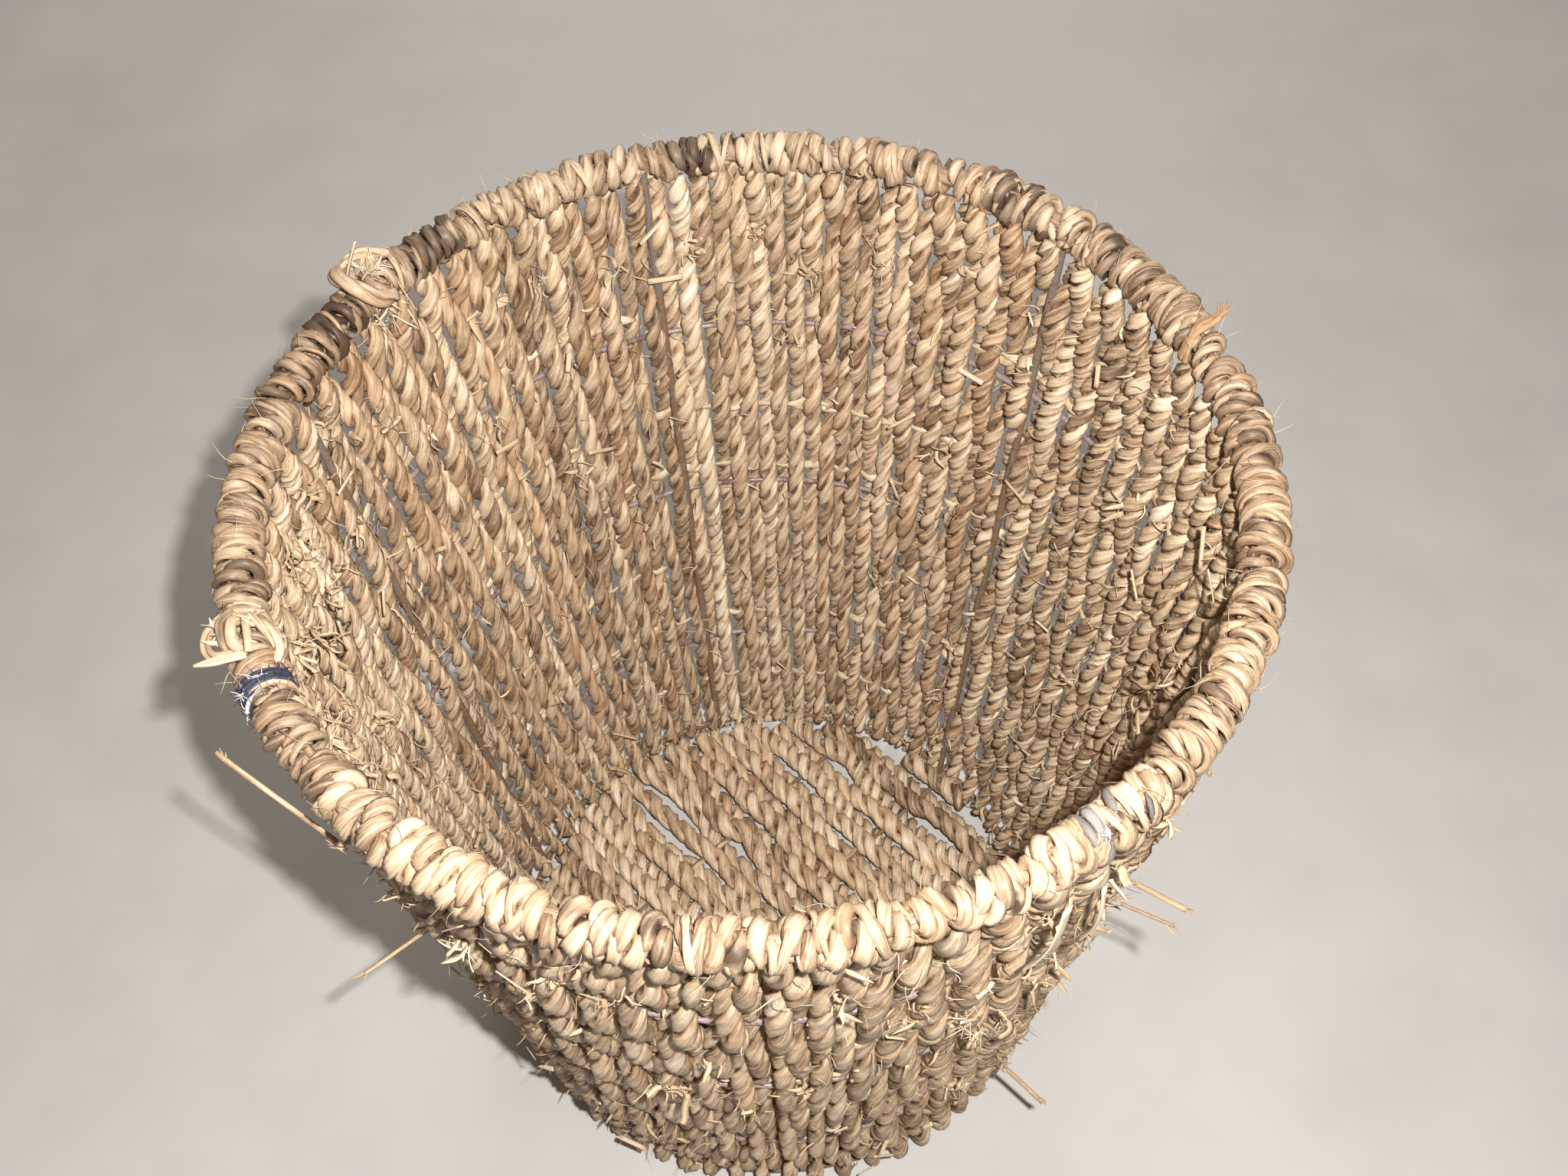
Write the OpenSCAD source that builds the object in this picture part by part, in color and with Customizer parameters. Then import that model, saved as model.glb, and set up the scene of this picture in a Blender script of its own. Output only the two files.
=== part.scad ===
// Seagrass storage basket on a steel wire frame.
// A round rim wire, a smaller base ring, six leaning uprights and three hoops form the frame.
// Twisted seagrass cords stand side by side round the wall and pass the hoops in turn inside and
// outside, so they lie in two staggered layers with the hoops and the flat weft strips between them.
// The floor is a row of parallel cords, woven the same way over three cross wires.
// The rim wire is wrapped in a thick seagrass lashing.
// Millimetres, +Z up, origin on the ground at the centre of the base.

/* [Basket] */
// Radius of the rim wire's centreline
rim_r = 150; // [146:1:160]
// Height of the rim wire's centreline above the ground
rim_z = 297; // [280:1:320]
// Radius of the base ring wire's centreline
base_r = 106; // [104:1:108]

/* [Wire frame] */
// Diameter of the rim, base ring and upright wires
wire_d = 3; // [2.6:0.1:3]
// Diameter of the hoops and the floor's cross wires
hoop_d = 2; // [1.6:0.1:2]
// Number of uprights, and of wall panels between them
uprights = 6; // [6]
// Direction of the first upright, in degrees from +X
first_upright = 42; // [0:1:60]
// Height of each hoop as a share of the rim's height
hoop_share = [0.21, 0.50, 0.76];
// Distance from the middle of the floor to each cross wire
cross_offsets = [-45, 0, 45];

/* [Seagrass] */
// Diameter of a twisted cord
cord_d = 5.6; // [5:0.1:5.6]
// Cords in one wall panel
cords_per_panel = 22; // [20:2:22]
// Distance between neighbouring floor cords
floor_pitch = 7.5; // [7.5:0.5:9]
// Direction in which the floor cords run, in degrees from +X
floor_turn = 130; // [0:1:180]
// Height of each flat weft strip as a share of the rim's height
weft_share = [0.12, 0.25, 0.37, 0.53, 0.63, 0.79, 0.89];
// Height of a weft strip
weft_h = 5; // [3:0.5:6]
// Thickness of a weft strip
weft_t = 1.2; // [0.8:0.1:1.2]

/* [Rim] */
// Outer diameter of the lashing round the rim wire
lashing_d = 14.4; // [13:0.2:15]
// Number of lengths the lashing is laid in
lashings = 12; // [12]

/* [Hidden] */
$fn = 48;
clear = 0.2;
floor_z = cord_d / 2 - clear;                        // axis of the lower floor cords
ring_z = floor_z + cord_d / 2 + hoop_d / 2 + 0.1;    // axis of the base ring and the cross wires
upper_floor_z = 2 * ring_z - floor_z;                // axis of the upper floor cords
lean = atan((rim_r - base_r) / (rim_z - ring_z));    // slope of the wall from upright
layer = (cord_d + wire_d) / 2 + 0.3;                 // distance of each cord layer from the hoops
upright_in = (wire_d + hoop_d) / 2 + 0.1;            // distance of the uprights inside the hoops
cord_top_z = rim_z - lashing_d / 2 - 0.6;
upright_low_z = ring_z + 1.4;
upright_top_z = rim_z - wire_d / 2 - 0.05;
panel_angle = 360 / uprights;
side_gap = 0.9;                                      // from an upright to the next cord, in cord steps
cord_step = panel_angle / (cords_per_panel - 1 + 2 * side_gap);
lashing_angle = 360 / lashings;
upright_gap = 0.7;                                   // half the opening in the lashing at an upright
seam_gap = 0.05;                                     // half the opening where two lashings meet
inner_floor_r = base_r - layer - cord_d / 2 - 1.2;   // the upper floor cords end inside the wall
outer_floor_r = base_r - wire_d / 2 - 0.3;           // the lower ones end at the base ring

seagrass = "burlywood";
pale_grass = "wheat";
brown_grass = "peru";
rusty_wire = "rosybrown";

function wall_r(z) = base_r + (rim_r - base_r) * (z - ring_z) / (rim_z - ring_z);
function two_digits(n) = n < 10 ? str("0", n) : str(n);

// A closed ring of round wire
module wire_ring(radius, z, d) {
    translate([0, 0, z])
        rotate_extrude($fn = 180)
            translate([radius, 0]) circle(d = d);
}

// A leaning round rod beside the wall, between two heights, set off from the wall's middle surface
module leaning_rod(angle, low_z, high_z, offset_out, d) {
    rotate([0, 0, angle])
        translate([wall_r(low_z) + offset_out, 0, low_z])
            rotate([0, lean, 0])
                cylinder(h = (high_z - low_z) / cos(lean), d = d);
}

// A tube of lashing bent along the rim from one angle to another
module rim_sleeve(from_angle, to_angle, inner_d, outer_d) {
    translate([0, 0, rim_z])
        rotate([0, 0, from_angle])
            rotate_extrude(angle = to_angle - from_angle, $fn = 180)
                translate([rim_r, 0])
                    difference() {
                        circle(d = outer_d);
                        circle(d = inner_d);
                    }
}

// Turns a piece to a direction on the rim and sets it at a height above the lashing
module on_rim(angle, above) {
    rotate([0, 0, angle])
        translate([rim_r, 0, rim_z + lashing_d / 2 + above])
            children();
}

// A ring of cord that stands for a knotted end
module knot_ring(ring_r, d) {
    rotate_extrude($fn = 64)
        translate([ring_r, 0]) circle(d = d);
}

module rim_wire() {
    color(rusty_wire) wire_ring(rim_r, rim_z, wire_d);
}

module base_ring_wire() {
    color(rusty_wire) wire_ring(base_r, ring_z, wire_d);
}

// Straight wires across the base, square to the floor cords, which pass over and under them
module base_cross_wires() {
    color(rusty_wire)
        rotate([0, 0, floor_turn - 90])
            for (y = cross_offsets) {
                half = sqrt(pow(outer_floor_r, 2) - pow(abs(y) + hoop_d / 2, 2));
                translate([-half, y, ring_z])
                    rotate([0, 90, 0])
                        cylinder(h = 2 * half, d = hoop_d);
            }
}

module hoop_wire(share) {
    z = share * rim_z;
    color(rusty_wire) wire_ring(wall_r(z), z, hoop_d);
}

module upright_wire(i) {
    color(rusty_wire)
        leaning_rod(first_upright + (i - 1) * panel_angle, upright_low_z, upright_top_z, -upright_in, wire_d);
}

// The wall cords between two uprights. Odd ones pass inside the hoops and end on the floor,
// even ones pass outside them and stand on the ground.
module wall_cords(i) {
    panel_start = first_upright + (i - 1) * panel_angle;
    color(seagrass)
        for (k = [0:cords_per_panel - 1]) {
            angle = panel_start + (side_gap + k) * cord_step;
            if (k % 2 == 0)
                leaning_rod(angle, upright_low_z + 1, cord_top_z, -layer, cord_d);
            else
                difference() {
                    leaning_rod(angle, -cord_d, cord_top_z, layer, cord_d);
                    rotate([0, 0, angle])
                        translate([base_r - cord_d, -cord_d, -3 * cord_d])
                            cube([3 * cord_d, 2 * cord_d, 3 * cord_d]);
                }
        }
}

// A flat strip that runs round the wall between the two cord layers, parallel to the wall
module weft_strip(i) {
    z = weft_share[i - 1] * rim_z;
    low = z - weft_h / 2;
    high = z + weft_h / 2;
    color(pale_grass)
        rotate_extrude($fn = 180)
            polygon([
                [wall_r(low) - weft_t / 4, low],
                [wall_r(low) + 3 * weft_t / 4, low],
                [wall_r(high) + 3 * weft_t / 4, high],
                [wall_r(high) - weft_t / 4, high]
            ]);
}

// One length of the wrapping round the rim wire. It opens where an upright comes in.
module rim_lashing(i) {
    from_gap = i % 2 == 1 ? upright_gap : seam_gap;
    to_gap = i % 2 == 1 ? seam_gap : upright_gap;
    start = first_upright + (i - 1) * lashing_angle;
    color(pale_grass)
        rim_sleeve(start + from_gap, start + lashing_angle - to_gap, wire_d + 2 * clear, lashing_d);
}

// One floor cord at a distance from the middle, cut off inside a circle
module floor_cord(y, z, limit_r) {
    half = sqrt(pow(limit_r, 2) - pow(abs(y) + cord_d / 2, 2));
    translate([-half, y, z])
        rotate([0, 90, 0])
            cylinder(h = 2 * half, d = cord_d);
}

// The floor cords that pass under the cross wires, pressed flat where they touch the ground
module floor_cords_lower() {
    last = floor((outer_floor_r - cord_d) / (2 * floor_pitch));
    color(seagrass)
        difference() {
            rotate([0, 0, floor_turn])
                for (k = [-last:last])
                    floor_cord(2 * k * floor_pitch, floor_z, outer_floor_r);
            translate([-base_r, -base_r, -cord_d])
                cube([2 * base_r, 2 * base_r, cord_d]);
        }
}

// The floor cords that pass over the cross wires
module floor_cords_upper() {
    last = floor((inner_floor_r - cord_d + floor_pitch) / (2 * floor_pitch));
    color(seagrass)
        rotate([0, 0, floor_turn])
            for (k = [-last:last - 1])
                floor_cord((2 * k + 1) * floor_pitch, upper_floor_z, inner_floor_r);
}

// Short repairs in another thread, wound over the lashing
module rim_wrap_blue() {
    color("slateblue") rim_sleeve(-156, -150, lashing_d + 2 * clear, lashing_d + 1.6);
}

module rim_wrap_grey() {
    color("slategray") rim_sleeve(-59, -55, lashing_d + 2 * clear, lashing_d + 1.2);
}

// A thick knotted end that stands on the rim
module rim_knot_back_left() {
    color(pale_grass)
        on_rim(145, 2.9) {
            knot_ring(5, 5.4);
            translate([0, 0, 3.2]) knot_ring(2.9, 5);
        }
}

module rim_knot_left() {
    color(pale_grass) on_rim(-161, 2.2) knot_ring(4, 4);
}

// Stiff brown ends that lean out of the lashing
module rim_frayed_end() {
    color(brown_grass)
        for (k = [-1:1])
            on_rim(17 + 1.2 * k, 0.4)
                rotate([0, 12 * k, 0])
                    cylinder(h = 8 - abs(k), d = 2.2);
}

// Loose ends that stand out of the wall: [direction, height, length, swing sideways, rise]
strands = [
    [-141, 268, 42, -74, 17],
    [-140, 200, 20, -7, -4],
    [-50, 68, 19, 8, -13],
    [-42, 213, 18, 21, -20],
    [-38, 178, 18, 7, -2],
    [-15, 190, 16, -50, 15],
    [5, 120, 16, 45, -10],
    [65, 180, 18, 52, 12],
    [120, 140, 16, -48, -15],
    [170, 200, 20, 55, 8]
];

module loose_strands() {
    color(brown_grass)
        for (s = strands)
            rotate([0, 0, s[0]])
                translate([wall_r(s[1]) + layer + cord_d / 2 + 1, 0, s[1]])
                    rotate([0, -s[4], s[3]])
                        rotate([0, 90, 0])
                            cylinder(h = s[2], d = 1.4);
}

rim_wire();
base_ring_wire();
base_cross_wires();
hoop_wire(hoop_share[0]);  // hoop_wire_lower
hoop_wire(hoop_share[1]);  // hoop_wire_middle
hoop_wire(hoop_share[2]);  // hoop_wire_upper
for (i = [1:uprights])
    upright_wire(i);
for (i = [1:uprights])
    wall_cords(i);
for (i = [1:len(weft_share)])
    weft_strip(i);
for (i = [1:lashings])
    rim_lashing(i);
floor_cords_lower();
floor_cords_upper();
rim_wrap_blue();
rim_wrap_grey();
rim_knot_back_left();
rim_knot_left();
rim_frayed_end();
loose_strands();
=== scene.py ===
"""Seagrass storage basket: the visual model, built strand by strand round the CAD's wire frame."""

import math

import bpy
import numpy as np
from mathutils import Matrix, Vector


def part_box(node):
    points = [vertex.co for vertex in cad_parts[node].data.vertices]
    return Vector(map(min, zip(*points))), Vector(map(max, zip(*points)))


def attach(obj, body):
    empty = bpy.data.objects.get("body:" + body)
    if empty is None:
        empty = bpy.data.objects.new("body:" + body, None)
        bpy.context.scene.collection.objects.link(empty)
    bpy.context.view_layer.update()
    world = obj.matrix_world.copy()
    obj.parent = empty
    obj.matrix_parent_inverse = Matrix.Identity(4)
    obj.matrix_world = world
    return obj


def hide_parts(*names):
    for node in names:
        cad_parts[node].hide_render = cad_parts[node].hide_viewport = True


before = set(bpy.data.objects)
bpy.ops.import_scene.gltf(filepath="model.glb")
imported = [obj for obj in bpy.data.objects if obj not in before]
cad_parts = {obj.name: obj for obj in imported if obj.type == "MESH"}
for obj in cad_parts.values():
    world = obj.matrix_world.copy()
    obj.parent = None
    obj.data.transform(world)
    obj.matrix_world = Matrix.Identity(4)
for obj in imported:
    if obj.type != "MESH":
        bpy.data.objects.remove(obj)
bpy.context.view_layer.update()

# ---- Sizes in millimetres and angles in degrees, as in the CAD source, the rest from the frame's boxes ----
MM = 0.001
TAU = 2 * math.pi
UP = np.array([0.0, 0.0, 1.0])
seeded = np.random.default_rng

WIRE_D = 3.0
CORD_D = 5.6
PANELS = 6
CORDS_PER_PANEL = 22
FIRST_UPRIGHT = 42.0
START_ANGLE = math.radians(FIRST_UPRIGHT)
PANEL_ANGLE = 360.0 / PANELS
SIDE_GAP = 0.9
CORD_STEP = PANEL_ANGLE / (CORDS_PER_PANEL - 1 + 2 * SIDE_GAP)
LASHINGS = 12
LASHING_TURNS = 11
LASHING_R = 7.2
FLOOR_PITCH = 7.5
FLOOR_TURN = 130.0
CROSS_WIRES = (-45.0, 0.0, 45.0)


def ring_radius(node, wire):
    """Radius of a wire ring's centreline."""
    low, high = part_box(node)
    return (high.x - low.x) / 2 / MM - wire / 2


def middle_height(node):
    """Height of the middle of a node's box."""
    low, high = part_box(node)
    return (low.z + high.z) / 2 / MM


RIM_R = ring_radius("rim_wire", WIRE_D)
RIM_Z = middle_height("rim_wire")
BASE_R = ring_radius("base_ring_wire", WIRE_D)
RING_Z = middle_height("base_ring_wire")
LEAN = math.atan((RIM_R - BASE_R) / (RIM_Z - RING_Z))
HOOP_Z = [middle_height(n) for n in ("hoop_wire_lower", "hoop_wire_middle", "hoop_wire_upper")]
WEFT_Z = [middle_height(f"weft_strip_{i}") for i in range(1, 8)]


def wall_r(z):
    """Radius of the wall's middle surface at a height."""
    return BASE_R + (RIM_R - BASE_R) * (z - RING_Z) / (RIM_Z - RING_Z)


# ---- Curves and strands ----
def ease(t):
    """0 up to 0, 1 from 1 on, and a smooth rise between."""
    t = np.clip(t, 0, 1)
    return t * t * (3 - 2 * t)


def wander(s, step, rng):
    """A smooth random curve of about -1 to 1 that changes over about `step` of s."""
    total = np.zeros_like(np.asarray(s, float))
    for share, size in ((1.0, 0.55), (0.53, 0.33), (0.27, 0.22)):
        length = 2.4 * step * share * rng.uniform(0.85, 1.2)
        total = total + size * np.sin(TAU * s / length + rng.uniform(0, TAU))
    return total


def steps_between(z, levels, values):
    """Values at levels, joined by eased steps."""
    z = np.asarray(z, float)
    at = np.clip(np.searchsorted(levels, z) - 1, 0, len(levels) - 2)
    levels, values = np.asarray(levels, float), np.asarray(values, float)
    t = ease((z - levels[at]) / (levels[at + 1] - levels[at]))
    return values[at] + (values[at + 1] - values[at]) * t


def unit(v):
    """Vectors of length 1."""
    return v / np.maximum(np.linalg.norm(v, axis=-1, keepdims=True), 1e-9)


def frames(path, hint):
    """Per point of a path: travel direction, hinted normal and side, with normal x side = travel. The hint is one
    direction, or one for each point."""
    travel = unit(np.gradient(path, axis=0))
    normal = unit(hint - travel * np.sum(hint * travel, axis=-1, keepdims=True))
    return travel, normal, np.cross(travel, normal)


def polar(r, angle, z):
    """Points from radius, angle in radians and height."""
    r, angle, z = np.broadcast_arrays(np.asarray(r, float), angle, z)
    return np.stack([r * np.cos(angle), r * np.sin(angle), z], axis=-1)


def run_length(path):
    """Distance travelled along a path at each of its points."""
    return np.concatenate([[0], np.cumsum(np.linalg.norm(np.diff(path, axis=0), axis=1))])


def smooth_path(points, count):
    """A smooth curve through points."""
    points = np.asarray(points, float)
    ends = np.vstack([2 * points[0] - points[1], points, 2 * points[-1] - points[-2]])
    t = np.linspace(0, len(points) - 1, count)
    k = np.minimum(t.astype(int), len(points) - 2)
    u = (t - k)[:, None]
    a, b, c, d = ends[k], ends[k + 1], ends[k + 2], ends[k + 3]
    return 0.5 * (2 * b + (c - a) * u + (2 * a - 5 * b + 4 * c - d) * u**2 + (3 * b - a - 3 * c + d) * u**3)


def broken(count, lengths, rng, gap=0):
    """Slices that cut a run of points into pieces of random lengths, with random gaps."""
    first = 0
    while first < count - 8:
        last = min(count, first + int(rng.uniform(*lengths)))
        yield slice(first, last)
        first = last + (int(rng.uniform(0, gap)) if gap else 0)


class Bundle:
    """Collects swept strands into one mesh, with the point attributes that the grass materials read: fib
    (millimetres round and along the strand), tone (light or dark, with painted light and shade on the wall, rim and
    creases), warm (orange-brown, with painted crease shade) and dark (dark brown stains, with painted shade in the
    creases and under the rim)."""

    def __init__(self):
        self.points, self.quads, self.tris = [], [], []
        self.fib, self.tone, self.warm, self.dark = [], [], [], []
        self.count = 0

    def add(self, rings, fib, tone, warm, dark):
        n, m = rings.shape[:2]
        index = self.count + np.arange(n * m).reshape(n, m)
        after = np.roll(index, -1, axis=1)
        self.quads.append(np.stack([index[:-1], after[:-1], after[1:], index[1:]], axis=-1).reshape(-1, 4))
        first, last = self.count + n * m, self.count + n * m + 1
        self.tris.append(np.stack([np.full(m, first), after[0], index[0]], axis=-1))
        self.tris.append(np.stack([np.full(m, last), index[-1], after[-1]], axis=-1))
        tips = rings[[0, -1]].mean(axis=1)
        self.points.append(np.concatenate([rings.reshape(-1, 3), tips]))
        self.fib.append(np.concatenate([fib.reshape(-1, 3), fib[[0, -1]].mean(axis=1)]))
        for store, value in ((self.tone, tone), (self.warm, warm), (self.dark, dark)):
            value = np.reshape(value, (-1, 1)) if np.ndim(value) == 1 else value
            value = np.broadcast_to(np.asarray(value, float), (n, m))
            store.append(np.concatenate([value.reshape(-1), value[[0, -1]].mean(axis=1)]))
        self.count += n * m + 2

    def build(self, name, material, nodes=(), slot=None):
        points = np.concatenate(self.points) * MM
        quads, tris = np.concatenate(self.quads), np.concatenate(self.tris)
        mesh = bpy.data.meshes.new(name)
        mesh.vertices.add(len(points))
        mesh.vertices.foreach_set("co", points.astype(np.float32).ravel())
        mesh.loops.add(quads.size + tris.size)
        mesh.loops.foreach_set("vertex_index", np.concatenate([quads.ravel(), tris.ravel()]).astype(np.int32))
        mesh.polygons.add(len(quads) + len(tris))
        starts = np.concatenate([np.arange(len(quads)) * 4, quads.size + np.arange(len(tris)) * 3])
        mesh.polygons.foreach_set("loop_start", starts.astype(np.int32))
        mesh.polygons.foreach_set("use_smooth", np.ones(len(starts), bool))
        mesh.update(calc_edges=True)
        fib = mesh.attributes.new("fib", "FLOAT_VECTOR", "POINT")
        fib.data.foreach_set("vector", np.concatenate(self.fib).astype(np.float32).ravel())
        for key, store in (("tone", self.tone), ("warm", self.warm), ("dark", self.dark)):
            layer = mesh.attributes.new(key, "FLOAT", "POINT")
            layer.data.foreach_set("value", np.concatenate(store).astype(np.float32))
        mesh.materials.append(material)
        obj = bpy.data.objects.new(name, mesh)
        bpy.context.scene.collection.objects.link(obj)
        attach(obj, "root")
        if nodes:
            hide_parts(*nodes)
        return obj


# Each strand's grain starts at a random place within this length, so no two look alike.
FIBRE_START = 4000


def strand(bundle, path, hint, half_width, half_depth, sides, rng, tone, warm=0.0, dark=0.0, ridge=0.08):
    """One flat or round strand along a path. The hint points away from its flat face."""
    _, normal, side = frames(path, hint)
    s = run_length(path)
    theta = np.arange(sides) * TAU / sides
    turn = rng.uniform(0, TAU)
    flute = 1 + ridge * np.cos(3 * theta + turn + 0.12 * s[:, None])
    depth = np.broadcast_to(half_depth, s.shape)[:, None] * np.cos(theta) * flute
    width = np.broadcast_to(half_width, s.shape)[:, None] * np.sin(theta) * flute
    rings = path[:, None] + normal[:, None] * depth[..., None] + side[:, None] * width[..., None]
    mean = float(np.mean(half_width))
    along = s[:, None] + rng.uniform(0, FIBRE_START)
    fib = np.stack(np.broadcast_arrays(mean * np.cos(theta), mean * np.sin(theta), along), axis=-1)
    bundle.add(rings, fib, tone, warm, dark)


# For a cord of unit size and each number of plies: reach of a ply from the middle, its half depth and half width
PLY_SHAPES = {2: (1.50, 1.62, 2.20), 3: (1.95, 1.20, 1.62)}


def cord(bundle, path, hint, phase, size, sides, rng, tone, warm, dark=0.0, flat=0.0, narrow=1.0, ground=None,
         plies=2, soil=0.0, fold=0.07, press=1.0):
    """A cord whose plies wind round each other. flat widens and thins the plies, narrow squeezes the cord sideways
    and press along its hint, nothing goes below the height `ground`, and fold is the depth of the leaf folds. Each
    ply is painted darker and warmer on its side towards the other plies as painted crease shade, and the crease
    amount adds painted dark brown shade there."""
    _, normal, side = frames(path, hint)
    s = run_length(path)
    theta = np.arange(sides) * TAU / sides
    size = np.broadcast_to(size, s.shape)
    narrow = np.broadcast_to(narrow, s.shape)
    reach_1, depth_1, width_1 = PLY_SHAPES[plies]
    for ply in range(plies):
        angle = phase + TAU * ply / plies + 0.22 * wander(s, 14, rng)
        out = normal * np.cos(angle)[:, None] + side * np.sin(angle)[:, None]
        across = -normal * np.sin(angle)[:, None] + side * np.cos(angle)[:, None]
        reach = size * (reach_1 + 0.12 * wander(s, 11, rng))
        depth = size * (depth_1 - 0.22 * flat) * (1 + 0.10 * wander(s, 8, rng))
        width = size * (width_1 + 0.34 * flat) * (1 + 0.16 * wander(s, 9, rng))
        crease = rng.uniform(0, TAU) + 0.10 * s
        flute = 1 + fold * np.cos(3 * theta + crease[:, None])
        flute = flute + 0.7 * fold * np.cos(5 * theta - 0.6 * crease[:, None])
        outward = reach[:, None] + depth[:, None] * np.cos(theta) * flute
        sideways = width[:, None] * np.sin(theta) * flute
        offset = out[:, None] * outward[..., None] + across[:, None] * sideways[..., None]
        beside = np.sum(offset * side[:, None], axis=-1, keepdims=True)
        offset = offset - side[:, None] * beside * (1 - narrow)[:, None, None]
        above = np.sum(offset * normal[:, None], axis=-1, keepdims=True)
        offset = offset - normal[:, None] * above * (1 - press)
        rings = path[:, None] + offset
        if ground is not None:
            rings[..., 2] = np.maximum(rings[..., 2], ground)
        lay = theta + 0.35 * angle[:, None]
        along = np.broadcast_to(s[:, None] + rng.uniform(0, FIBRE_START), lay.shape)
        fib = np.stack([1.6 * np.cos(lay), 1.6 * np.sin(lay), along], axis=-1)
        # Painted crease shade: the side of each ply that faces the other plies is painted darker and warmer, and
        # the crease amount adds more dark brown there.
        crease_shading = 0.5 - 0.5 * np.cos(theta)
        tint = tone + 0.08 * rng.normal() + 0.13 * wander(s, 26, rng) + 0.10 * wander(s, 8, rng)
        glow = warm + 0.10 * rng.normal() + 0.24 * wander(s, 34, rng)
        stain_and_shade = np.broadcast_to(dark, s.shape)[:, None] + soil * crease_shading**2
        bundle.add(rings, fib, tint[:, None] - 0.13 * crease_shading, glow[:, None] + 0.18 * crease_shading, stain_and_shade)


# ---- Materials ----
def shade(red, green, blue):
    """A colour given as 0-255 screen values."""

    def linear(c):
        c /= 255
        return c / 12.92 if c <= 0.04045 else ((c + 0.055) / 1.055) ** 2.4

    return (linear(red), linear(green), linear(blue), 1.0)


def stops(*rows):
    """A colour ramp's stops from rows of place, red, green and blue."""
    return [(place, shade(*colour)) for place, *colour in rows]


DARK_BROWN = shade(72, 54, 42)


class Nodes:
    """Short ways to add shader nodes to one material."""

    def __init__(self, name):
        self.material = bpy.data.materials.new(name)
        self.material.use_nodes = True
        self.tree = self.material.node_tree
        self.shader = self.tree.nodes["Principled BSDF"]

    def new(self, kind, **settings):
        node = self.tree.nodes.new(kind)
        for key, value in settings.items():
            setattr(node, key, value)
        return node

    def fill(self, node, **values):
        for key, value in values.items():
            node.inputs[key].default_value = value

    def link(self, source, target):
        self.tree.links.new(source, target)

    def attribute(self, name):
        return self.new("ShaderNodeAttribute", attribute_name=name)

    def stretched(self, vector, scale):
        node = self.new("ShaderNodeVectorMath", operation="MULTIPLY")
        self.link(vector, node.inputs[0])
        node.inputs[1].default_value = scale
        return node.outputs["Vector"]

    def noise(self, vector, scale, detail=2.0, roughness=0.5, distortion=0.0):
        node = self.new("ShaderNodeTexNoise")
        self.link(vector, node.inputs["Vector"])
        self.fill(node, Scale=scale, Detail=detail, Roughness=roughness, Distortion=distortion)
        return node.outputs["Fac"]

    def math(self, operation, a, b, clamp=False):
        node = self.new("ShaderNodeMath", operation=operation, use_clamp=clamp)
        for socket, value in zip(node.inputs, (a, b)):
            if isinstance(value, (int, float)):
                socket.default_value = value
            else:
                self.link(value, socket)
        return node.outputs["Value"]

    def vary(self, value, noise, amount, clamp=False):
        """A value that a noise moves up and down."""
        return self.math("ADD", value, self.math("MULTIPLY", self.math("SUBTRACT", noise, 0.5), amount), clamp)

    def remap(self, value, from_low, from_high, to_low, to_high):
        node = self.new("ShaderNodeMapRange", clamp=True)
        self.link(value, node.inputs["Value"])
        keys = ("From Min", "From Max", "To Min", "To Max")
        for key, number in zip(keys, (from_low, from_high, to_low, to_high)):
            node.inputs[key].default_value = number
        return node.outputs["Result"]

    def ramp(self, value, stops):
        node = self.new("ShaderNodeValToRGB")
        self.link(value, node.inputs["Fac"])
        elements = node.color_ramp.elements
        while len(elements) < len(stops):
            elements.new(0.5)
        for element, (place, colour) in zip(elements, stops):
            element.position = place
            element.color = colour
        return node.outputs["Color"]

    def bump(self, height, strength, distance):
        node = self.new("ShaderNodeBump")
        self.fill(node, Strength=strength, Distance=distance)
        self.link(height, node.inputs["Height"])
        self.link(node.outputs["Normal"], self.shader.inputs["Normal"])


# The sockets of Blender's Mix node share names between data types, so colours are picked by type.
def mix_colours(nodes, factor, a, b):
    node = nodes.new("ShaderNodeMix", data_type="RGBA")
    nodes.link(factor, [i for i in node.inputs if i.name == "Factor" and i.type == "VALUE"][0])
    colour_inputs = [i for i in node.inputs if i.type == "RGBA"]
    for socket, value in zip(colour_inputs, (a, b)):
        if isinstance(value, tuple):
            socket.default_value = value
        else:
            nodes.link(value, socket)
    return [o for o in node.outputs if o.type == "RGBA"][0]


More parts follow.
